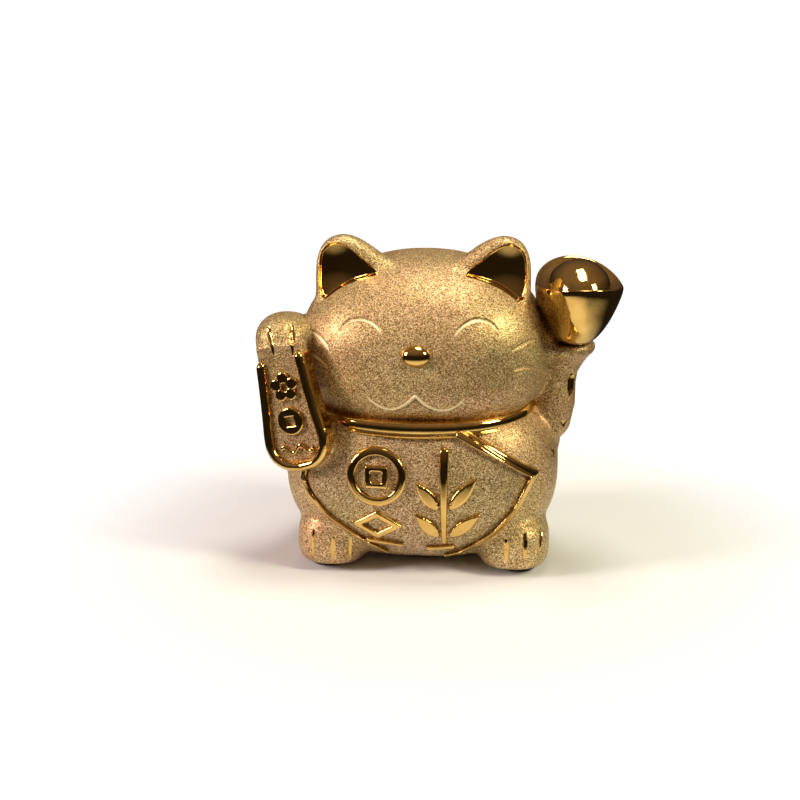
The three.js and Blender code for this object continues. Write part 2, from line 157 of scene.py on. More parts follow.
def onto_front(field, xz, start=-70.0, steps=60):
    """Points on the front of a field at the given [x, z] pairs."""
    xz = np.asarray(xz, float)
    y = np.full(len(xz), start)
    for _ in range(steps):
        y += np.clip(field(np.column_stack([xz[:, 0], y, xz[:, 1]])), -1, 4) * 0.8
    return np.column_stack([xz[:, 0], y, xz[:, 1]])


def within(p, low, high):
    return np.all((p > low) & (p < high), axis=1)


# ---- meshing a field
CORNERS = [(i, j, k) for i in (0, 1) for j in (0, 1) for k in (0, 1)]
EDGES = [
    (a, b)
    for a in range(8)
    for b in range(a + 1, 8)
    if sum(x != y for x, y in zip(CORNERS[a], CORNERS[b])) == 1
]
BLOCK = 8  # cells along a block's side
HALF_DIAGONAL = 0.87  # of a cube, in sides
STEEPEST = 1.35  # how much a field may change in a millimetre
DETAIL_REACH = 2.5  # millimetres that a fillet or a line may add or take away
FAR_OUTSIDE = 9.0
SETTLING_STEPS = 2
LONGEST_STEP = 0.4  # of a cell


def evaluate(field, points, chunk=400000):
    return np.concatenate([field(points[i : i + chunk]) for i in range(0, len(points), chunk)])


def slopes(field, points, h=0.05):
    """The field and its gradient at the points."""
    base = evaluate(field, points)
    grad = np.empty_like(points)
    for axis in range(3):
        moved = points.copy()
        moved[:, axis] += h
        grad[:, axis] = (evaluate(field, moved) - base) / h
    return base, grad


def normals_at(field, points):
    """Unit vectors straight out of a field."""
    grad = slopes(field, points)[1]
    return grad / np.maximum(np.linalg.norm(grad, axis=1), 1e-9)[:, None]


def sampled(field, low, shape, cell):
    """The field on a grid: point by point in the blocks near its surface, one value in each of the others."""
    grid = np.full(tuple(shape), FAR_OUTSIDE)
    blocks = np.stack(np.meshgrid(*[np.arange(b) for b in shape // BLOCK], indexing="ij"), -1).reshape(-1, 3)
    at_middle = evaluate(field, low + (blocks + 0.5) * (BLOCK * cell))
    close = np.abs(at_middle) < BLOCK * cell * HALF_DIAGONAL * STEEPEST + DETAIL_REACH
    for (i, j, k), value in zip(blocks[~close] * BLOCK, at_middle[~close]):
        grid[i : i + BLOCK, j : j + BLOCK, k : k + BLOCK] = value
    inner = np.stack(np.meshgrid(*[np.arange(BLOCK)] * 3, indexing="ij"), -1).reshape(-1, 3)
    cells = (blocks[close][:, None, :] * BLOCK + inner[None]).reshape(-1, 3)
    grid[tuple(cells.T)] = evaluate(field, low + cells * cell)
    return grid


def crossed_cells(grid, solid):
    """The cells that the surface passes through, and where in each its edges are crossed on average."""
    m = np.array(grid.shape) - 1
    total = np.zeros(tuple(m), np.int8)
    for i, j, k in CORNERS:
        total += solid[i : i + m[0], j : j + m[1], k : k + m[2]]
    ids = np.argwhere((total > 0) & (total < len(CORNERS)))
    value = np.stack([grid[tuple((ids + c).T)] for c in CORNERS], 1)
    spot = np.zeros((len(ids), 3))
    hits = np.zeros(len(ids))
    for a, b in EDGES:
        va, vb = value[:, a], value[:, b]
        crossed = (va < 0) != (vb < 0)
        t = np.where(crossed, va / np.where(crossed, va - vb, 1), 0)
        ca, cb = np.array(CORNERS[a], float), np.array(CORNERS[b], float)
        spot += np.where(crossed[:, None], ca + (cb - ca) * t[:, None], 0)
        hits += crossed
    return ids, spot / hits[:, None]


def linked_quads(solid, ids):
    """A quad across each grid edge that enters or leaves the solid, facing out."""
    n = np.array(solid.shape)
    m = n - 1
    index = np.full(tuple(m), -1, np.int64)
    index[tuple(ids.T)] = np.arange(len(ids))
    quads = []
    for axis in range(3):
        b, c = (axis + 1) % 3, (axis + 2) % 3
        near, far = [slice(None)] * 3, [slice(None)] * 3
        near[axis], far[axis] = slice(0, n[axis] - 1), slice(1, None)
        at = np.argwhere(solid[tuple(near)] != solid[tuple(far)])
        at = at[(at[:, b] > 0) & (at[:, c] > 0) & (at[:, b] < m[b]) & (at[:, c] < m[c])]
        ring = []
        for db, dc in ((0, 0), (1, 0), (1, 1), (0, 1)):
            corner = at.copy()
            corner[:, b] -= db
            corner[:, c] -= dc
            ring.append(index[tuple(corner.T)])
        ring = np.stack(ring, 1)
        starts_solid = solid[tuple(at.T)]
        ring[~starts_solid] = ring[~starts_solid][:, ::-1]
        quads.append(ring)
    quads = np.concatenate(quads)
    return quads[(quads >= 0).all(1)]


def surface(field, low, high, cell):
    """Vertices, quads and normals of a field's zero surface, with one vertex in each cell that it crosses."""
    low = np.asarray(low, float)
    shape = np.ceil((np.asarray(high, float) - low) / (cell * BLOCK)).astype(int) * BLOCK
    grid = sampled(field, low, shape, cell)
    solid = grid < 0
    ids, spot = crossed_cells(grid, solid)
    vertices = low + (ids + spot) * cell
    for _ in range(SETTLING_STEPS):
        base, grad = slopes(field, vertices)
        size = np.maximum((grad**2).sum(1), 0.05)
        shift = -base[:, None] * grad / size[:, None]
        length = np.linalg.norm(shift, axis=1)
        vertices += shift * np.minimum(1, cell * LONGEST_STEP / np.maximum(length, 1e-9))[:, None]
    return vertices, linked_quads(solid, ids), normals_at(field, vertices)


# ---- pieces
def placed(name, data):
    """A new object of the scene with this mesh, light or camera."""
    obj = bpy.data.objects.new(name, data)
    bpy.context.collection.objects.link(obj)
    return obj


def piece(name, vertices, faces, normals=None):
    """A smooth mesh object from millimetre points about ORIGIN."""
    mesh = bpy.data.meshes.new(name)
    in_metres = (np.asarray(vertices) + ORIGIN) / 1000
    mesh.from_pydata(in_metres.tolist(), [], [list(map(int, f)) for f in faces])
    mesh.validate()
    mesh.polygons.foreach_set("use_smooth", [True] * len(mesh.polygons))
    if normals is not None:
        mesh.normals_split_custom_set_from_vertices(np.asarray(normals).tolist())
    return placed(name, mesh)


def finish_piece(obj, material, slot, body, *nodes):
    """Give a piece its material and body, and let it stand for these CAD nodes. The slot is not used."""
    obj.data.materials.append(material)
    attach(obj, body)
    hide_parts(*nodes)


def grid_faces(rows, columns, closed_rows=False):
    """Quads of a grid whose columns wrap round."""
    faces = []
    for i in range(rows if closed_rows else rows - 1):
        for j in range(columns):
            k = (j + 1) % columns
            row, above = i * columns, (i + 1) % rows * columns
            faces.append((row + j, row + k, above + k, above + j))
    return faces


def circle(columns):
    """Evenly spaced angles round a circle."""
    return np.linspace(0, 2 * math.pi, columns, endpoint=False)


def turned(profile, columns):
    """A turned piece's vertices and faces. Its profile runs from the axis below to the axis above."""
    vertices = [(0.0, 0.0, profile[0][1])]
    for r, z in profile[1:-1]:
        vertices += [(r * math.cos(a), r * math.sin(a), z) for a in circle(columns)]
    vertices.append((0.0, 0.0, profile[-1][1]))
    rows = len(profile) - 2
    faces = [[i + 1 for i in face] for face in grid_faces(rows, columns)]
    top = len(vertices) - 1
    last_row = 1 + (rows - 1) * columns
    for j in range(columns):
        k = (j + 1) % columns
        faces.append((0, 1 + k, 1 + j))
        faces.append((top, last_row + j, last_row + k))
    return np.array(vertices), faces


X, Y, Z = range(3)


def turn(angle, a, b):
    """The matrix of a turn that carries axis a towards axis b."""
    matrix = np.eye(3)
    matrix[a, a] = matrix[b, b] = math.cos(angle)
    matrix[b, a] = math.sin(angle)
    matrix[a, b] = -math.sin(angle)
    return matrix


# ---- materials
class Nodes:
    """A short way to build a material or a world: each call adds a node and links its inputs."""

    def __init__(self, name, kind="materials", shader="Principled BSDF"):
        self.owner = getattr(bpy.data, kind).new(name)
        self.owner.use_nodes = True
        self.tree = self.owner.node_tree
        self.shader = self.tree.nodes[shader]

    def add(self, kind, inputs=None, **settings):
        node = self.tree.nodes.new(kind)
        for key, value in settings.items():
            setattr(node, key, value)
        for key, value in (inputs or {}).items():
            self.feed(node, key, value)
        return node

    def feed(self, node, key, value):
        socket = node.inputs[key]
        if hasattr(value, "is_output"):
            self.tree.links.new(value, socket)
        else:
            socket.default_value = value

    def maths(self, operation, a, b=0.0):
        return self.add("ShaderNodeMath", {0: a, 1: b}, operation=operation).outputs[0]

    def ramp(self, value, stops):
        node = self.add("ShaderNodeValToRGB", {"Fac": value})
        ramp = node.color_ramp
        while len(ramp.elements) < len(stops):
            ramp.elements.new(0.5)
        for element, (at, colour) in zip(ramp.elements, stops):
            element.position = at
            element.color = (*colour, 1)
        return node.outputs["Color"]

    def blend(self, share, a, b, mode="MIX"):
        """a where share is 0, b where it is 1."""
        node = self.add("ShaderNodeMix", {0: share, 6: a, 7: b}, data_type="RGBA", blend_type=mode)
        return node.outputs[2]

    def spread(self, value, low, high, a=0.0, b=1.0, **settings):
        """a where the value is low, b where it is high."""
        ends = {"Value": value, "From Min": low, "From Max": high, "To Min": a, "To Max": b}
        return self.add("ShaderNodeMapRange", ends, **settings).outputs[0]

    def number(self, share, a, b):
        """a where share is 0, b where it is 1."""
        return self.spread(share, 0.0, 1.0, a, b)

    def place(self):
        return self.add("ShaderNodeTexCoord").outputs["Object"]

    def noise(self, place, scale, detail, roughness=0.5):
        inputs = {"Vector": place, "Scale": scale, "Detail": detail, "Roughness": roughness}
        return self.add("ShaderNodeTexNoise", inputs).outputs["Fac"]

    def finish(self, colour, rough, height, strength, distance, metallic):
        """Link the looks to the shader. The bump is distance metres deep."""
        bump = self.add("ShaderNodeBump", {"Height": height, "Strength": strength, "Distance": distance})
        looks = {"Base Color": colour, "Roughness": rough, "Normal": bump.outputs[0], "Metallic": metallic}
        for key, value in looks.items():
            self.feed(self.shader, key, value)
        return self.owner


def gilding_colour(n, place):
    """Lustre gold: slightly uneven in tone, as a brushed-on coat is."""
    cloud = n.noise(place, 90.0, 3.0, 0.6)
    return n.ramp(cloud, [(0.3, (0.60, 0.37, 0.105)), (0.7, (0.80, 0.53, 0.17))])


def make_gilding():
    """Mirror gold with a faint ripple, and specks a little rougher than the rest."""
    n = Nodes("mirror_gilding")
    place = n.place()
    ripple = n.noise(place, 160.0, 2.0)
    rough = n.spread(n.noise(place, 900.0, 2.0), 0.35, 0.75, 0.05, 0.13)
    return n.finish(gilding_colour(n, place), rough, ripple, 0.10, 0.0006, 1.0)


def grains(n, place, scale):
    """Red, green and blue of cells, each cell with its own random tones."""
    cells = n.add("ShaderNodeTexVoronoi", {"Vector": place, "Scale": scale}, feature="F1")
    return n.add("ShaderNodeSeparateColor", {"Color": cells.outputs["Color"]}).outputs


def threads(n, place, direction):
    """Bands across the X or Z direction, a little uneven."""
    inputs = {"Vector": place, "Scale": 120.0, "Distortion": 2.0, "Detail": 2.0, "Detail Scale": 3.0}
    return n.add("ShaderNodeTexWave", inputs, bands_direction=direction).outputs["Fac"]


def make_glitter():
    """Sand-blasted glitter gold: bright and dark grains, each with its own tone, roughness and height.
    The gilded mask makes it mirror gilding, the glaze-and-highlight one gives a cream glaze colour that is
    partly a painted highlight, the panel one adds a faint weave."""
    n = Nodes("glitter_gold")
    place = n.place()
    gilded, glaze_and_highlight_fac, panel = (
        n.add("ShaderNodeAttribute", attribute_name=mask).outputs["Fac"]
        for mask in ("gilded", "glaze_and_highlight", "panel")
    )
    mirror = n.spread(gilded, 0.42, 0.58)
    glaze_and_highlight = n.spread(glaze_and_highlight_fac, 0.35, 0.62)
    grain = grains(n, place, 3300.0)
    dust = grains(n, place, 4700.0)
    tone = n.maths("ADD", n.maths("MULTIPLY", grain[0], 0.8), n.maths("MULTIPLY", dust[1], 0.2))
    sand = n.ramp(tone, [
        (0.10, (0.070, 0.038, 0.014)),
        (0.34, (0.27, 0.165, 0.070)),
        (0.58, (0.60, 0.42, 0.205)),
        (0.78, (1.0, 0.80, 0.47)),
        (0.90, (1.0, 1.0, 0.80)),
    ])
    # The glitter drifts between a pink and a yellow cast over a few centimetres.
    drift = n.noise(place, 22.0, 3.0, 0.55)
    cast = n.ramp(drift, [(0.38, (1.0, 0.86, 0.80)), (0.62, (1.0, 0.96, 0.78))])
    sand = n.blend(1.0, sand, cast, "MULTIPLY")
    sand = n.blend(n.maths("MULTIPLY", panel, 0.8), sand, (0.88, 0.93, 1.0, 1), "MULTIPLY")
    # Painted highlight: the glaze-and-highlight mask lightens the sand to cream along the grooves' lit lower
    # sides and the lip beads, partly glaze and partly painted light.
    sand = n.blend(n.maths("MULTIPLY", glaze_and_highlight, 0.9), sand, (1.0, 0.86, 0.53, 1))
    colour = n.blend(mirror, sand, gilding_colour(n, place))
    sand_rough = n.maths("MULTIPLY", n.number(grain[2], 0.30, 0.60), n.number(mirror, 1.0, 0.0))
    rough = n.maths("ADD", sand_rough, n.number(mirror, 0.0, 0.08))
    flake = n.maths("ADD", n.maths("MULTIPLY", grain[1], 0.6), n.maths("MULTIPLY", dust[0], 0.4))
    pits = n.maths("MULTIPLY", n.noise(place, 1500.0, 2.0), 0.8)
    weave = n.maths("ADD", threads(n, place, "Z"), threads(n, place, "X"))
    weave = n.maths("MULTIPLY", weave, n.maths("MULTIPLY", panel, 0.35))
    height = n.maths("ADD", n.maths("ADD", flake, pits), weave)
    strength = n.number(n.maths("MAXIMUM", mirror, glaze_and_highlight), 0.6, 0.03)
    metallic = n.maths("SUBTRACT", n.number(mirror, 0.75, 1.0), n.maths("MULTIPLY", glaze_and_highlight, 0.5))
    return n.finish(colour, rough, height, strength, 0.00022, metallic)


def make_rubber():
    """Black rubber: dusty in patches, with a fine grain."""
    n = Nodes("black_rubber")
    place = n.place()
    grime = n.noise(place, 400.0, 4.0)
    grain = n.noise(place, 2600.0, 2.0)
    colour = n.ramp(grime, [(0.35, (0.012, 0.012, 0.012)), (0.75, (0.040, 0.038, 0.036))])
    return n.finish(colour, n.number(grime, 0.55, 0.85), grain, 0.4, 0.0002, 0.0)


gilding = make_gilding()
glitter = make_glitter()
rubber = make_rubber()

# ---- the casting's field
# The belly's raised panel in the front view, and its rise in millimetres.
PANEL = [
    (20.5, 71), (53, 48.5), (45.6, 34), (36.4, 23.2), (20.4, 11.6), (12, 8.6),
    (-11.5, 9.8), (-22.4, 17), (-40, 29.2), (-51, 44), (-38, 72),
]
PANEL_RISE = 0.9


def torso_field(p):
    d = rounded(p, TORSO)
    front = (p[:, 1] < 5) & (np.abs(d) < 12)
    if front.any():
        inside = outline_distance(p[front, 0], p[front, 2], PANEL)
        d[front] -= PANEL_RISE * step_up(-inside, -0.6, 0.9)
    return d


def head_field(p):
    return rounded(p, HEAD)


# The ear and its hollow in the front view, from the outer foot round the tip, across from the head's middle.
EAR = [
    (48.4, 106), (48.5, 125), (48.5, 134), (48.0, 141), (46.0, 146.8), (42.4, 150.6),
    (36.8, 152.2), (30.5, 151.0), (24.2, 147.6), (18.0, 143.2), (9, 138),
]
EAR_HOLLOW = [
    (45.0, 125.3), (46.3, 129.5), (46.4, 136), (46.1, 142), (44.3, 146.6), (40.0, 149.0),
    (36.0, 148.7), (31.8, 146.4), (26.4, 142.1), (21.4, 137.9), (20.0, 136.0), (24.0, 134.8),
    (29.4, 133.0), (35.6, 130.2), (40.8, 126.6), (43.0, 124.8),
]


def ear_outline(side, keys, inner_foot=()):
    return [(HEAD_X + side * x, z) for x, z in [*curve(keys, 44), *inner_foot]]


EAR_OUTER = {side: ear_outline(side, EAR, [(9, 104)]) for side in (-1, 1)}
EAR_INNER = {side: ear_outline(side, EAR_HOLLOW) for side in (-1, 1)}
EAR_FRONT, EAR_BACK, EAR_ROUND = -18.5, -3.5, 5.2


def ear_field(p, side):
    flat = outline_distance(p[:, 0], p[:, 2], EAR_OUTER[side])
    # The ear thins a little towards its tip and leans back.
    lift = np.clip((p[:, 2] - 125) / 26, 0, 1)
    middle = (EAR_FRONT + EAR_BACK) / 2 + 1.5 * lift
    half = (EAR_BACK - EAR_FRONT) / 2 - 1.3 * lift
    return rounded_edge(flat, np.abs(p[:, 1] - middle) - half, EAR_ROUND)


def ear_scoop(p, side):
    """The hollow of the ear: a smooth bowl inside a crisp outline, deepest towards its outer side."""
    flat = outline_distance(p[:, 0], p[:, 2], EAR_INNER[side])
    across = (side * (p[:, 0] - HEAD_X) - 38) / 15
    rise = (p[:, 2] - 138) / 17
    floor = EAR_FRONT + 1.6 + 6.0 * np.exp(-1.2 * (across**2 + rise**2))
    return overlap(flat, (p[:, 1] - floor) * 0.85, 0.9)


def ears(p, d):
    """The field d with both ears joined to it and hollowed."""
    for side in (-1, 1):
        low = (HEAD_X + side * 32 - 27, -34, 104)
        high = (HEAD_X + side * 32 + 27, 8, 160)
        near = within(p, low, high)
        if near.any():
            q = p[near]
            made = join(d[near], ear_field(q, side), 3.2)
            d[near] = cut(made, ear_scoop(q, side), 0.7)
    return d


# The tablet's middle, its own axes (across, front to back, up), and its outline down each side to the foot.
PLAQUE_AT = np.array([-55.0, -37.0, 78.0])
PLAQUE_TURN = turn(-0.3, X, Y) @ turn(-0.22, Z, X)
PLAQUE_RIGHT = [
    (12.4, 29.5), (12.8, 20), (13.4, 8), (14.3, -3), (15.1, -11),
    (15.1, -17), (12.6, -22.8), (7.2, -26.6), (0, -27.8),
]
PLAQUE_LEFT = [
    (-10.0, 29.5), (-10.8, 20), (-12.2, 8), (-13.7, -3), (-14.9, -11),
    (-15.0, -17), (-12.6, -22.8), (-7.2, -26.6), (0, -27.8),
]


def plaque_outline():
    right = [tuple(q) for q in curve(PLAQUE_RIGHT, 40)]
    left = [tuple(q) for q in curve(PLAQUE_LEFT, 40)]
    return right + left[-2::-1]


PLAQUE_OUTLINE = plaque_outline()


def in_plaque(p):
    """Points in the tablet's own axes."""
    return (p - PLAQUE_AT) @ PLAQUE_TURN


def plaque_slab(q):
    return rounded_edge(outline_distance(q[:, 0], q[:, 2], PLAQUE_OUTLINE), np.abs(q[:, 1]) - 3, 1.0)


# Each forearm is a path and its half widths.
RIGHT_FOREARM = [(-57, 0, 58), (-61, -6, 80), (-61, -13, 100)], [8.5, 10.5, 10]
LEFT_FOREARM = (
    [(58.5, 0, 58), (60.0, -0.5, 66), (61.0, -0.5, 75), (62.0, 0, 85), (63.4, 0, 92), (65.6, -0.5, 98)],
    [6.0, 9.4, 10.2, 9.3, 9.0, 10.0],
)
PALM = dict(centre=(65.4, -1.5, 101.4), half=(14.2, 14, 4.4, 6.0), exponents=(2.1, 2.2, 2.2), lean=0)
THUMB = dict(centre=(56.5, -4, 103), half=(7.0, 11, 9.5, 8), exponents=(2, 2, 2), lean=0)
HULL = dict(centre=(71.8, -2, 131.5), half=(20.6, 29, 20, 27.2), exponents=(2.2, 2, 2), lean=0)


def arms(p, d):
    """The field d with the arms and the tablet joined to it, and a seat for the ingot cut out of the palm."""
    near = within(p, (-95, -62, 40), (-35, 30, 125))
    if near.any():
        q = p[near]
        made = join(d[near], line_distance(q, *RIGHT_FOREARM), 5)
        made = join(made, plaque_slab(in_plaque(q)), 2.2)
        d[near] = join(made, rounded(q, RIGHT_PAW), 2.6)
    near = within(p, (40, -30, 40), (92, 30, 118))
    if near.any():
        q = p[near]
        d[near] = cut(join(d[near], left_arm_field(q), 4.5), rounded(q, HULL, 0.3), 0.8)
    return d


def left_arm_field(q):
    """The forearm that carries the ingot: elbow, wrist and a palm cupped on its inner side."""
    made = join(line_distance(q, *LEFT_FOREARM), rounded(q, PALM), 3.5)
    # The palm's top is flat under the ingot.
    made = overlap(made, q[:, 2] - 104.9 - 0.12 * (q[:, 1] + 2), 1.0)
    return join(made, rounded(q, THUMB), 2.5)


TAIL = curve([(-6, 41, 10), (8, 45, 11), (21, 44, 20), (25, 42, 33), (17, 44.5, 43), (8, 46, 38)], 22)


def tail_field(q):
    """The tail, curled up against the back and tapering to its tip."""
    return line_distance(q, TAIL, np.linspace(6.2, 3.6, len(TAIL)))


def casting_body(p):
    """All the castings as the one fired body, before its fine lines are cut."""
    d = join(torso_field(p), head_field(p), 2.0)
    d = ears(p, d)
    d = arms(p, d)
    for paw in HIND_PAWS:
        d = join(d, rounded(p, paw), 3.0)
    near = within(p, (-22, 25, 0), (40, 60, 60))
    if near.any():
        d[near] = join(d[near], tail_field(p[near]), 2.4)
    return overlap(d, FLOOR_OF_CASTING - p[:, 2], 1.6)


# ---- fine lines
def raised_off(places, height):
    """Points moved straight out of the casting's surface, so that a line cut along them is shallower."""
    return places + normals_at(casting_body, places) * np.asarray(height)[:, None]


def line(xz, half_widths, gilt=False, glaze_and_highlight=False, raised=False):
    """A smooth line over the casting's front: cut into it or raised, and with gilding in it, or with a cream
    glaze colour that is partly a painted highlight.
    """
    places = onto_front(casting_body, curve(xz, 4 * len(xz)))
    widths = np.interp(np.linspace(0, 1, len(places)), np.linspace(0, 1, len(half_widths)), half_widths)
    if gilt:
        places = raised_off(places, 0.4 * widths)
    return dict(path=places, widths=widths, gilt=gilt, glaze_and_highlight=glaze_and_highlight, raised=raised,
                low=places.min(0) - 4, high=places.max(0) + 4)


def directions(places):
    """The casting's outward normal at places on it, and the way straight down its surface."""
    normal = normals_at(casting_body, places)
    downhill = np.array([0, 0, -1.0]) + normal[:, 2:] * normal
    return normal, downhill / np.linalg.norm(downhill, axis=1)[:, None]


def beaded(xz, half_width):
    """A thin raised lip over a fine groove, fading out at its outer end. The lip is coloured cream, partly
    glaze and partly a painted highlight.
    """
    taper = [1.0] * (len(xz) - 2) + [0.8, 0.3]
    bead = line(xz, [half_width * t for t in taper], glaze_and_highlight=True, raised=True)
    groove = line(xz, [0.6 * half_width * t for t in taper])
    normal, downhill = directions(bead["path"])
    bead["path"] = bead["path"] - 0.25 * half_width * normal
    groove["path"] = groove["path"] + 1.45 * half_width * downhill
    return [bead, groove]


def chiselled(xz, half_width, glaze_and_highlight=True):
    """A groove with a steep upper side and a broad lower side that catches the light, fading at both ends.
    The lower side is coloured cream, partly glaze and partly a painted highlight.
    """
    taper = [0.25] + [1.0] * (len(xz) - 2) + [0.25]
    upper = line(xz, [0.62 * half_width * t for t in taper])
    lower = line(xz, [half_width * t for t in taper], glaze_and_highlight=glaze_and_highlight)
    normal, downhill = directions(lower["path"])
    upper["path"] = upper["path"] - (0.15 * downhill + 0.15 * normal) * half_width
    lower["path"] = lower["path"] + (0.62 * downhill + 0.42 * normal) * half_width
    return [upper, lower]


def face_lines():
    """The closed eyes, the mouth and the whiskers."""
    made = []
    eyes = [
        [(-33.4, 114.0), (-31.2, 116.6), (-27.6, 118.8), (-22.6, 119.6),
         (-18.0, 118.4), (-15.4, 116.4), (-14.0, 114.2)],
        [(16.6, 113.0), (18.6, 115.8), (22.0, 118.6), (26.8, 120.0),
         (31.4, 119.0), (34.4, 117.0), (36.2, 114.2)],
    ]
    for eye in eyes:
        made += chiselled(eye, 0.8)
    for side in (-1, 1):
        lip = [(0, 86.8), (2.2, 84.6), (6.0, 81.6), (10.8, 79.9), (15.6, 80.8), (19.4, 83.4), (21.4, 85.6)]
        made += beaded([(0.7 + side * x, z) for x, z in lip], 0.66)
    whiskers = [
        [(-47.8, 111.2), (-45.4, 111.0), (-42.3, 109.4), (-39.4, 106.8), (-38.0, 104.4)],
        [(-48.8, 101.4), (-46.6, 101.3), (-43.3, 100.2), (-40.2, 98.2), (-38.6, 96.0)],
        [(-47.2, 90.4), (-45.0, 90.5), (-42.4, 89.6), (-40.2, 88.2)],
        [(42.4, 105.8), (45.6, 107.5), (48.6, 108.4), (51, 108.4)],
        [(42.6, 96.6), (45.6, 97.6), (49, 97.4), (51.6, 96.4)],
        [(42.0, 91.2), (44.4, 91.0), (46.4, 89.0), (47.6, 86.6)],
    ]
    for whisker in whiskers:
        # Only the whiskers on the cat's right side get the cream colour, a painted highlight where the light
        # catches them.
        made += chiselled(whisker, 0.72, glaze_and_highlight=whisker[0][0] < 0)
    return made


def toe_lines():
    """Short gilded grooves between the toes of the hind paws and of the raised paw."""
    # Each groove has its x, top, foot and lean. Each paw has the lean's share at mid height, and half widths.
    right_hind = [(-46.8, 20.2, 8.2, -0.4), (-37.4, 18.2, 6.6, -0.5), (-29.8, 17.2, 6.4, -0.6)]
    left_hind = [(41.2, 19.2, 7.8, 0.2), (49.6, 21.2, 9.6, 0.1), (57.0, 20.2, 12, -0.4)]
    raised = [(-65.4, 113.8, 102.6, 2.8), (-55.0, 114.4, 103.2, 1.4)]
    made = []
    for toes, share, half_widths in (
        (right_hind, 1.0, [0.5, 1.15, 0.95, 0.45]),
        (left_hind, 1.0, [0.7, 1.3, 0.95, 0.45]),
        (raised, 0.7, [1.0, 1.35, 0.8, 0.35]),
    ):
        for x, top, low, lean in toes:
            middle = (x + lean * share, (top + low) / 2)
            made.append(line([(x, top), middle, (x + lean, low)], half_widths, gilt=True))
    return made


def side_lines():
    """The gilded marks on the outer side of the arm and on the flank, cut into the surface where they lie."""
    places = [
        [(70.4, -7.6, 88.6), (71.0, -7.4, 85.8), (70.8, -7.4, 82.6), (69.8, -7.8, 79.6)],
        [(65.6, -9.2, 66.6), (67.4, -9.0, 65.4), (69.6, -8.2, 66.6)],
        [(61.0, -16.4, 55.6), (62.2, -14.0, 54.2), (61.6, -15.2, 52.2)],
    ]
    widths = [[1.6, 4.2, 4.2, 1.6], [0.9, 2.0, 0.9], [0.9, 1.8, 0.9]]
    made = []
    for place, half in zip(places, widths):
        path = np.array(place, float)
        for _ in range(6):
            base, grad = slopes(casting_body, path)
            path -= base[:, None] * grad / (grad**2).sum(1)[:, None]
        path = raised_off(path, 0.75 * np.array(half))
        made.append(dict(path=path, widths=half, gilt=True, glaze_and_highlight=False, raised=False,
                         low=path.min(0) - 5, high=path.max(0) + 5))
    return made


LINES = face_lines() + toe_lines() + side_lines()
SLOT_HALF_LENGTH, SLOT_HALF_WIDTH, SLOT_HEIGHT, SLOT_DEPTH = 19, 2.5, 114, 24
HOLE_RADIUS = 12
# The hollow is modelled only as far as it can be seen through the coin slot and round the bung.
BEHIND_SLOT = dict(centre=(0, 26, SLOT_HEIGHT), half=(23, 11, 9, 9), exponents=(2.5, 2.5, 2.5), lean=0)
ABOVE_BUNG = dict(centre=(0, 0, 20), half=(20, 18, 12, 12), exponents=(2.4, 2.4, 2.4), lean=0)


def casting_field(p):
    """The whole casting, with its fine lines, coin slot and base hole."""
    d = casting_body(p)
    for cutter in LINES:
        near = within(p, cutter["low"], cutter["high"])
        if near.any():
            r = line_distance(p[near], cutter["path"], cutter["widths"])
            d[near] = join(d[near], r, 0.3) if cutter["raised"] else cut(d[near], r, 0.5)
    near = within(p, (-30, 10, 100), (30, 60, 128))
    if near.any():
        q = p[near]
        across = np.maximum(np.abs(q[:, 0]) - (SLOT_HALF_LENGTH - SLOT_HALF_WIDTH), 0)
        slot = np.hypot(across, q[:, 2] - SLOT_HEIGHT) - SLOT_HALF_WIDTH
        made = cut(d[near], np.maximum(slot, SLOT_DEPTH - q[:, 1]), 0.9)
        d[near] = cut(made, rounded(q, BEHIND_SLOT), 0.8)
    near = within(p, (-30, -28, -2), (30, 30, 36))
    if near.any():
        q = p[near]
        hole = np.hypot(q[:, 0], q[:, 1]) - HOLE_RADIUS
        made = cut(d[near], np.maximum(hole, q[:, 2] - 16), 0.6)
        d[near] = cut(made, rounded(q, ABOVE_BUNG), 0.8)
    return d


def share_of_lines(p, kind, reach=0.15):
    """1 inside the lines of a kind, falling to 0 over a millimetre at their edges."""
    share = np.zeros(len(p))
    for cutter in LINES:
        if cutter[kind]:
            near = within(p, cutter["low"], cutter["high"])
            r = line_distance(p[near], cutter["path"], cutter["widths"])
            share[near] = np.maximum(share[near], 0.5 - (r - reach))
    return np.clip(share, 0, 1)


def gilded_share(p):
    """1 in the ears' hollows and the gilded lines."""
    share = share_of_lines(p, "gilt")
    for side in (-1, 1):
        near = within(p, (HEAD_X + side * 32 - 24, -34, 110), (HEAD_X + side * 32 + 24, 6, 156))
        share[near] = np.maximum(share[near], 0.5 - (ear_scoop(p[near], side) - 0.2) / 0.8)
    return np.clip(share, 0, 1)


def panel_share(p):
    """1 on the cloth-like panel of the belly."""
    inside = outline_distance(p[:, 0], p[:, 2], PANEL)
    return np.where(p[:, 1] < 0, step_up(-inside, 0.5, 2.0), 0) * step_up(74 - p[:, 2], 0, 2)


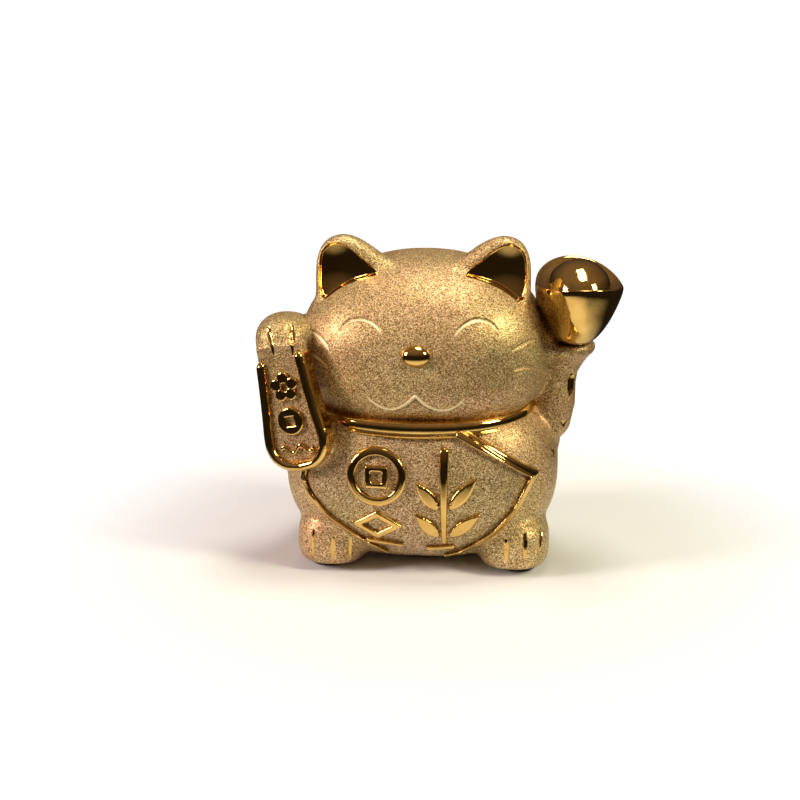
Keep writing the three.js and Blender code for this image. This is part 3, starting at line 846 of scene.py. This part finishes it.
def build_casting():
    """One continuous skin, shared out by name between the parts of the casting."""
    vertices, quads, normals = surface(casting_field, (-84, -62, 0), (92, 58, 158), CASTING_CELL)
    masks = {
        "gilded": gilded_share(vertices),
        # The glaze-and-highlight mask: cream colour on the lines, partly glaze and partly a painted
        # highlight.
        "glaze_and_highlight": share_of_lines(vertices, "glaze_and_highlight"),
        "panel": panel_share(vertices),
    }
    middle = vertices[quads].mean(1)
    right_arm = np.minimum(line_distance(middle, *RIGHT_FOREARM), rounded(middle, RIGHT_PAW))
    right_arm = np.minimum(right_arm, plaque_slab(in_plaque(middle)))
    # Each part takes the faces that are deepest in its own field, and stands for the CAD nodes beside it.
    parts = {
        "casting_torso": (torso_field(middle), "body_shell", "left_flank_patch"),
        "casting_head": (head_field(middle), "head_shell"),
        "casting_left_hind_paw": (rounded(middle, HIND_PAWS[1]), "left_hind_paw"),
        "casting_right_hind_paw": (rounded(middle, HIND_PAWS[0]), "right_hind_paw"),
        "casting_left_ear": (ear_field(middle, 1), "left_ear", "left_ear_lining"),
        "casting_right_ear": (ear_field(middle, -1), "right_ear", "right_ear_lining"),
        "casting_right_arm": (right_arm, "right_arm", "plaque"),
        "casting_left_arm": (
            left_arm_field(middle), "left_arm", "left_arm_patch_upper", "left_arm_patch_lower",
        ),
        "casting_tail": (tail_field(middle), "tail"),
    }
    deepest = np.argmin(np.stack([field for field, *_ in parts.values()]), 0)
    owner = np.array(list(parts))[deepest]
    owner[(owner == "casting_torso") & (panel_share(middle) > 0.5)] = "casting_belly_panel"
    parts["casting_belly_panel"] = (None, "body_shell")
    for name, (_, *stands_for) in parts.items():
        own = quads[owner == name]
        used, faces = np.unique(own, return_inverse=True)
        obj = piece(name, vertices[used], faces.reshape(-1, 4), normals[used])
        for mask, share in masks.items():
            layer = obj.data.attributes.new(mask, "FLOAT", "POINT")
            layer.data.foreach_set("value", share[used].astype(np.float32))
        finish_piece(obj, glitter, "frosted_gold", "figure", *stands_for)


build_casting()

# ---- gilded relief
ORNAMENT_RISE = 1.9
TALLER_RISES = {"belly_border_left": 2.4, "belly_border_right": 2.4, "belly_stem": 2.2}


def gild(obj, node):
    finish_piece(obj, gilding, "bright_gold", "figure", node)


def relief(name, field, low, high, cell=TRIM_CELL):
    """A gilded piece from a field, named like the CAD node that it stands for."""
    vertices, quads, normals = surface(field, low, high, cell)
    gild(piece(name, vertices, quads, normals), name)


def raised_on_belly(flat, rise, edge=1.3):
    """Relief on the belly: flat(x, z) is the distance to its outline in the front view."""
    def field(p):
        body = torso_field(p)
        made = overlap(flat(p[:, 0], p[:, 2]), body - rise, edge)
        return np.maximum(np.maximum(made, -body - 1.2), p[:, 1] - 4)
    return field


def stroke(points, widths):
    """A line in the front view, with these half widths."""
    def flat(x, z):
        return line_distance(np.column_stack([x, z]), points, widths)
    return flat


def ring(cx, cz, outer, inner):
    """A round ring in the front view."""
    def flat(x, z):
        r = np.hypot(x - cx, z - cz)
        return np.maximum(r - outer, inner - r)
    return flat


def square_ring(cx, cz, outer, inner):
    """A square ring with round corners in the front view."""
    def flat(x, z):
        def box(half):
            return rounded_edge(np.abs(x - cx) - half, np.abs(z - cz) - half, 0.8)
        return np.maximum(box(outer), -box(inner))
    return flat


def lozenge_ring(cx, cz, half_x, half_z, width):
    """A ring on four straight sides, standing on a corner."""
    corners = [(cx + half_x, cz), (cx, cz + half_z), (cx - half_x, cz), (cx, cz - half_z)]
    def flat(x, z):
        d = outline_distance(x, z, corners)
        return np.maximum(d - 0.8, -d - width)
    return flat


# The piping along the panel's edge: its path in the front view, and its half widths.
BORDER_LEFT = [
    (20.6, 69.4), (29, 64.6), (38, 59.4), (53.4, 48.9), (50.4, 43.5),
    (45.6, 34), (36.4, 23.2), (28.4, 16.6), (20.4, 11.8), (13.5, 9.2),
], [2.3, 2.2, 1.9, 1.7, 1.5, 1.5, 1.5, 1.4, 1.2, 0.8]
BORDER_RIGHT = [
    (-39, 70), (-50, 52), (-51.6, 44), (-48.6, 38), (-40, 29.2), (-29.8, 22.2), (-22.4, 17.2), (-13.0, 11.2),
], [1.4, 1.4, 1.4, 1.4, 1.4, 1.3, 1.0, 0.7]
COIN_X, COIN_Z = -16.5, 50


def build_belly():
    """The panel's piping and its generic ornaments: a coin, a lozenge, two bars and a sprig."""
    # Each piece has its outline, and the lowest and highest x and z of the space searched for it.
    pieces = {
        "belly_border_left": (stroke(*BORDER_LEFT), (15, 4), (56, 74)),
        "belly_border_right": (stroke(*BORDER_RIGHT), (-56, 4), (-16, 74)),
        "belly_coin_rim": (ring(COIN_X, COIN_Z, 13.4, 9.6), (-31, 35), (-2, 65)),
        "belly_coin_eye": (square_ring(COIN_X, COIN_Z, 5.2, 2.4), (-23, 43), (-10, 57)),
        "belly_lozenge": (lozenge_ring(COIN_X, 27, 10.6, 6.4, 2.2), (-29, 18), (-4, 35)),
        "belly_bar_right": (stroke([(-21, 18.4), (-6, 16.4)], [1.3, 1.1]), (-24, 12), (-3, 22)),
        "belly_bar_left": (stroke([(6, 14.6), (17, 15.6)], [1.1, 1.3]), (3, 10), (20, 20)),
        "belly_stem": (stroke([(13.5, 19), (13.5, 40), (13.5, 62)], [1.2, 1.6, 2.0]), (9, 15), (18, 66)),
    }
    leaves = [((16.1, 36), (28, 50)), ((10.9, 36), (1, 48)), ((16.1, 22), (29.5, 33)), ((10.9, 22), (1, 33))]
    along = np.linspace(0, 1, 9)
    for i, (root, tip) in enumerate(leaves):
        root, tip = np.array(root), np.array(tip)
        spine = [root + (tip - root) * t for t in along]
        widths = [0.3 + 2.9 * math.sin(math.pi * t**0.8) for t in along]
        low, high = np.minimum(root, tip) - 3, np.maximum(root, tip) + 3
        pieces[f"belly_leaf_{i + 1}"] = (stroke(spine, widths), low, high)
    for name, (flat, (x0, z0), (x1, z1)) in pieces.items():
        rise = TALLER_RISES.get(name, ORNAMENT_RISE)
        relief(name, raised_on_belly(flat, rise), (x0 - 2, -54, z0 - 2), (x1 + 2, -8, z1 + 2))


build_belly()


def plaque_rim(p):
    """A rolled edge down both sides and round the foot, whose ends go under the paw."""
    q = in_plaque(p)
    d = outline_distance(q[:, 0], q[:, 2], PLAQUE_OUTLINE)
    roll = (np.hypot((d + 1.7) / 2.3, (q[:, 1] + 2.9) / 2.9) - 1) * 2.3
    wall = np.maximum(np.abs(d + 1.4) - 1.9, np.abs(q[:, 1] - 0.3) - 3.1)
    made = overlap(join(roll, wall, 0.6), q[:, 2] - 24.2 - 0.12 * q[:, 0], 3.0)
    return np.maximum(made, -rounded(p, RIGHT_PAW) - 1.0)


def blossom(x, z, cx=0.8, cz=10.6):
    """Five round petals about an open eye."""
    petals = np.full(x.shape, 1e9)
    for k in range(5):
        angle = math.radians(90 + 72 * k)
        petal = np.hypot(x - cx - 4.1 * math.cos(angle), z - cz - 4.1 * math.sin(angle)) - 2.9
        petals = np.minimum(petals, petal)
    return np.maximum(petals, 1.6 - np.hypot(x - cx, z - cz))


def square_eyed_coin(x, z):
    return np.maximum(np.hypot(x, z + 5) - 6.4, 1.9 - np.maximum(np.abs(x), np.abs(z + 5)))


def wave(x, z):
    crest = -18 + 1.5 * np.sin((x / 17 + 0.5) * math.pi * 4)
    return np.maximum(np.abs(z - crest) * 0.72 - 0.85, np.abs(x) - 8.2)


def raised_on_plaque(flat, back=-2.4, front=4.9, edge=1.1):
    """Relief on the tablet: flat(x, z) is the distance to its outline in the tablet's own axes."""
    def field(p):
        q = in_plaque(p)
        made = overlap(flat(q[:, 0], q[:, 2]), -q[:, 1] - front, edge)
        return np.maximum(made, q[:, 1] - back)
    return field


def build_plaque():
    """The tablet's rolled rim and its three ornaments."""
    low, high = (-84, -58, 44), (-34, -24, 108)
    relief("plaque_rim", plaque_rim, low, high)
    for name, flat in (("plaque_blossom", blossom), ("plaque_coin", square_eyed_coin), ("plaque_wave", wave)):
        relief(name, raised_on_plaque(flat), low, high, cell=TRIM_CELL * 0.9)


build_plaque()


# The collar's section: outwards from the neck's line, and up.
COLLAR = [
    (-3.5, -5.8), (1.4, -6.2), (2.9, -5.9), (3.9, -5.1), (4.1, -4.5), (3.5, -4.2), (2.8, -3.8),
    (3.1, -2.9), (3.2, -1.6), (2.8, -0.3), (1.8, 0.7), (0.4, 1.2), (-3.5, 1.4),
]
NECK_ACROSS, NECK_DEEP, NECK_Z, COLLAR_LIFT = 50, 40, 73, 4


def build_collar():
    """A gilded moulding round the neck: a rolled band with a thin lip along its lower edge."""
    columns = 220
    rows = []
    section = curve(COLLAR, 44)
    for r, z in section:
        for angle in circle(columns):
            x, y = math.cos(angle), math.sin(angle)
            lift = COLLAR_LIFT * min(1.0, max(0.0, y + 1) ** 1.5)
            # It reaches a little further behind than in front, where the head overhangs it less.
            across, deep = (NECK_ACROSS + r) * x, (NECK_ACROSS + r) * y * (NECK_DEEP + y) / NECK_ACROSS
            rows.append((across, deep - 3, z + NECK_Z + lift))
    gild(piece("collar", rows, grid_faces(len(section), columns, closed_rows=True)), "collar")


build_collar()


def build_nose():
    """A polished button, a little flatter above than below."""
    button = dict(
        centre=(HEAD_X - 0.2, -43.6, 104.6), half=(6.9, 5.6, 5.1, 5.2), exponents=(2.1, 2.1, 2.0), lean=0,
    )
    relief("nose", lambda p: rounded(p, button), (-8, -52, 98), (10, -36, 113), cell=TRIM_CELL * 0.8)


build_nose()


# The ingot's profile, up its hull and over its rim and dome, in shares of its radius and of its waist.
INGOT = [
    (0, 0.0), (0.16, 0.0), (0.32, 0.0), (0.40, 0.01), (0.49, 0.05), (0.62, 0.15), (0.80, 0.38), (0.93, 0.66),
    (0.99, 0.88), (1.0, 0.98), (0.99, 1.03), (0.95, 1.045), (0.89, 1.02), (0.82, 0.995), (0.775, 0.99),
    (0.745, 1.02), (0.715, 1.09), (0.64, 1.21), (0.51, 1.32), (0.35, 1.41), (0.17, 1.458), (0, 1.47),
]
INGOT_WIDTH, INGOT_LENGTH, INGOT_WAIST, INGOT_RISE = 39.0, 56, 24.8, 5.6
INGOT_AT, INGOT_PITCH, INGOT_YAW = np.array([70.9, -2, 105.2]), 0.13, 0.13


def build_ingot():
    """A boat-shaped ingot: a full hull, keeled at both ends, with a broad rim that sweeps up, and a dome."""
    profile = [(max(r, 0.004), z) for r, z in curve(INGOT, 96)]
    vertices, faces = turned(profile, 160)
    x, y, z = vertices.T
    reach = np.maximum(np.hypot(x, y), 1e-6)
    end = np.abs(y / reach) ** 1.5
    sweep = INGOT_RISE * end * np.clip((reach - 0.45) / 0.55, 0, 1) ** 2 * np.clip(z, 0, 1)
    # Each end of the hull draws in to a soft keel, which fades out at the base and below the rim.
    keen = 1.0 + 0.34 * step_up(z, 0.05, 0.4) * (1 - step_up(z, 0.62, 0.98)) * step_up(reach, 0.3, 0.8)
    across = np.sign(x) * np.abs(x / reach) ** keen * reach
    # The dome is a little shorter than the boat.
    shorten = np.where(z > 0.9, 0.84 + 0.16 * step_up(reach, 0.72, 0.9), 1)
    lean = -2.2 * (1 - np.clip(z, 0, 1))
    made = np.column_stack([
        across * INGOT_WIDTH / 2 + lean,
        y * shorten * INGOT_LENGTH / 2,
        z * INGOT_WAIST + sweep,
    ])
    made = made @ (turn(INGOT_YAW, X, Y) @ turn(INGOT_PITCH, Y, Z)).T + INGOT_AT
    gild(piece("ingot", made, faces), "ingot")


build_ingot()


# ---- rubber feet and bung
def middle_of(node):
    """A node's middle, its half width and its top."""
    low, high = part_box(node)
    return [(a + b) * 500 for a, b in zip(low, high)], (high[0] - low[0]) * 500, high[2] * 1000


def turned_rubber(node, body, profile, columns):
    """A turned rubber piece at the place of its CAD node."""
    vertices, faces = turned(profile, columns)
    x, y, _ = middle_of(node)[0]
    obj = piece(node + "_rubber", vertices + np.array([x, y, 0]) - ORIGIN * [1, 1, 0], faces)
    finish_piece(obj, rubber, "black_rubber", body, node)


def build_pads():
    """Moulded feet with a soft edge, a dished underside and a faint parting line."""
    for node in ("front_left_pad", "front_right_pad", "rear_left_pad", "rear_right_pad"):
        _, r, top = middle_of(node)
        profile = [
            (0, 0.35), (r * 0.55, 0.35), (r * 0.7, 0.02), (r - 0.7, 0.0), (r - 0.15, 0.35), (r, 1.0),
            (r, 1.45), (r - 0.15, 1.55), (r, 1.65), (r - 0.1, 2.5), (r - 0.5, top),
            (r * 0.5, top + 0.3), (0, top + 0.3),
        ]
        turned_rubber(node, "figure", profile, 48)


build_pads()


def build_bung():
    """A flanged cup. Rings round the plug grip the hole, and the recessed underside gives a nail a grip."""
    flange, plug = 15.5, 11.7
    profile = [
        (0, 1.9), (4.6, 1.9), (5.6, 1.3), (6.2, 1.0), (14.2, 1.0), (15.1, 1.2), (flange, 1.8), (15.4, 2.6),
        (14.9, 3.0), (plug + 0.3, 3.0), (plug - 0.2, 3.5), (plug - 0.3, 4.6), (plug, 5.0), (plug - 0.3, 5.4),
        (plug - 0.3, 6.8), (plug, 7.2), (plug - 0.3, 7.6), (plug - 0.4, 9.0), (plug - 0.9, 10.8),
        (plug - 1.6, 11.9), (plug - 2.6, 12.0), (plug - 3.8, 11.6), (plug - 4, 10.5), (plug - 4, 5.6),
        (plug - 4.6, 5.0), (0, 5.0),
    ]
    turned_rubber("bung", "stopper", profile, 72)


build_bung()


# ---- floor, lights and camera
FLOOR_RINGS = [0.05, 0.1, 0.2, 0.3, 0.45, 0.6]
FLOOR_Z = -0.0001
FADE_START, FADE_END = 0.10, 0.24


def build_floor():
    """A pale floor that fades into the bright surround at its edge and is clear from underneath."""
    columns = 96
    vertices = [(0.0, 0.0, FLOOR_Z)]
    for r in FLOOR_RINGS:
        vertices += [(r * math.cos(a), r * math.sin(a), FLOOR_Z) for a in circle(columns)]
    faces = [[i + 1 for i in reversed(f)] for f in grid_faces(len(FLOOR_RINGS), columns)]
    faces += [(0, 1 + j, 1 + (j + 1) % columns) for j in range(columns)]
    mesh = bpy.data.meshes.new("floor")
    mesh.from_pydata(vertices, [], faces)
    n = Nodes("pale_floor")
    n.feed(n.shader, "Base Color", (0.75, 0.78, 0.86, 1))
    n.feed(n.shader, "Roughness", 0.9)
    n.feed(n.shader, "Specular IOR Level", 0.1)
    distance = n.add("ShaderNodeVectorMath", {0: n.place()}, operation="LENGTH").outputs["Value"]
    fade = n.spread(distance, FADE_START, FADE_END, interpolation_type="SMOOTHSTEP")
    below = n.add("ShaderNodeNewGeometry").outputs["Backfacing"]
    clear = n.add("ShaderNodeBsdfTransparent").outputs[0]
    share = n.maths("MAXIMUM", fade, below)
    mix = n.add("ShaderNodeMixShader", {0: share, 1: n.shader.outputs[0], 2: clear})
    n.feed(n.tree.nodes["Material Output"], "Surface", mix.outputs[0])
    mesh.materials.append(n.owner)
    obj = placed("floor", mesh)


def softbox(name, place, target, size, power, colour):
    """A rectangular soft light that faces the target."""
    light = bpy.data.lights.new(name, "AREA")
    light.shape = "RECTANGLE"
    light.size, light.size_y = size
    light.energy = power
    light.color = colour
    obj = placed(name, light)
    obj.location = place
    obj.rotation_euler = (Vector(target) - Vector(place)).to_track_quat("-Z", "Y").to_euler()


def build_lights():
    """A dark studio with soft lights, so that the mirror gilding is dark between its highlights."""
    n = Nodes("room", "worlds", "Background")
    bpy.context.scene.world = n.owner
    place = n.add("ShaderNodeTexCoord").outputs["Generated"]
    height = n.add("ShaderNodeSeparateXYZ", {0: place}).outputs["Z"]
    n.feed(n.shader, "Color", n.ramp(height, [(0.05, (0.020, 0.016, 0.011)), (0.80, (0.24, 0.17, 0.13))]))
    middle = (0, 0, 0.09)
    softbox("overhead", (0.1, 0.05, 1.0), middle, (0.38, 0.28), 5.2, (1.0, 0.94, 0.76))
    softbox("right_key", (0.92, -0.42, 0.75), middle, (0.26, 0.34), 11.5, (1.0, 0.95, 0.64))
    softbox("left_fill", (-0.98, -0.40, 0.50), middle, (0.26, 0.40), 12.0, (1.0, 0.83, 0.74))


def build_backdrop():
    """A bright surround beyond the floor's edge, lit for the camera only."""
    bm = bmesh.new()
    bmesh.ops.create_uvsphere(bm, u_segments=48, v_segments=24, radius=6)
    mesh = bpy.data.meshes.new("backdrop")
    bm.to_mesh(mesh)
    bm.free()
    n = Nodes("lit_backdrop")
    n.feed(n.shader, "Base Color", (0.9, 0.9, 0.9, 1))
    n.feed(n.shader, "Emission Color", (1, 1, 1, 1))
    n.feed(n.shader, "Emission Strength", 1.0)
    mesh.materials.append(n.owner)
    obj = placed("backdrop", mesh)
    obj.visible_diffuse = False
    obj.visible_glossy = False
    obj.visible_transmission = False
    obj.visible_shadow = False


def build_camera():
    """62 cm away, a little above the object and towards its left."""
    azimuth, elevation, distance = math.radians(5), math.radians(15), 0.62
    millimetres_per_pixel, picture_width, sensor = 0.471, 800, 36
    out = math.cos(elevation)
    back = Vector((math.sin(azimuth) * out, -math.cos(azimuth) * out, math.sin(elevation)))
    target = Vector(((ORIGIN + [0, 0, 70]) / 1000).tolist())
    data = bpy.data.cameras.new("camera")
    data.sensor_width = sensor
    data.lens = sensor * distance * 1000 / millimetres_per_pixel / picture_width
    data.shift_x, data.shift_y = -22.6 / picture_width, 7 / picture_width
    obj = placed("camera", data)
    obj.location = target + back * distance
    obj.rotation_euler = (-back).to_track_quat("-Z", "Y").to_euler()
    bpy.context.scene.camera = obj


build_floor()
build_backdrop()
build_lights()
build_camera()

bpy.context.scene.view_settings.view_transform = "Standard"
